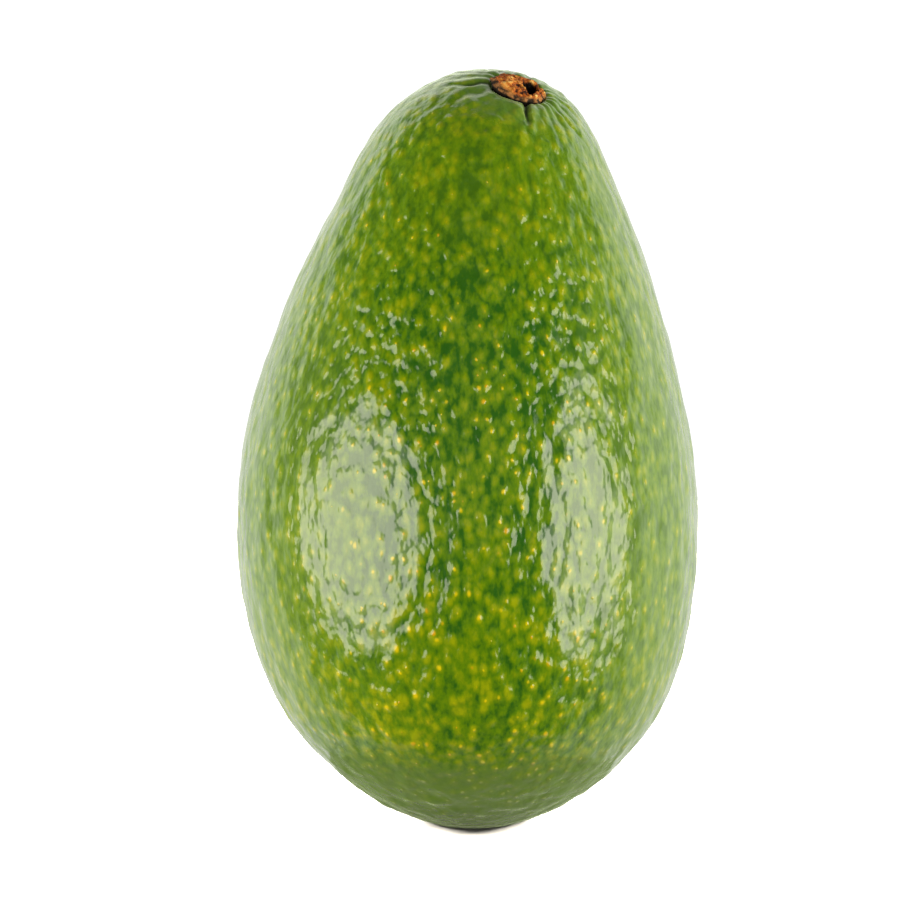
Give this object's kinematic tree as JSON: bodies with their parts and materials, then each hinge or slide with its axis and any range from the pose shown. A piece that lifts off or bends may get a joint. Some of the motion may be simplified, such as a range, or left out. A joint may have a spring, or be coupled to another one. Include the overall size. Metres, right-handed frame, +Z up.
{
  "type": "avocado",
  "caption": "Whole green avocado, pear-shaped, with pebbled skin and the corky stub of its stalk, standing on a small flat spot at its blunt end.",
  "frame": {"origin": "on the surface that the fruit stands on, under the middle of its bounding box", "axes": "+Z up, from the blossom end to the stem end; +X to the fruit's right in the picture; -Y to its front, with the stalk"},
  "size_m": [0.0706, 0.069, 0.1152],
  "materials": {
    "skin": "pebbled waxy skin, satin to glossy, green with yellow dots",
    "cork": "rough dry cork, matt"
  },
  "bodies": {
    "root": {"fruit": "skin", "stem_stub": "cork"}
  },
  "joints": []
}
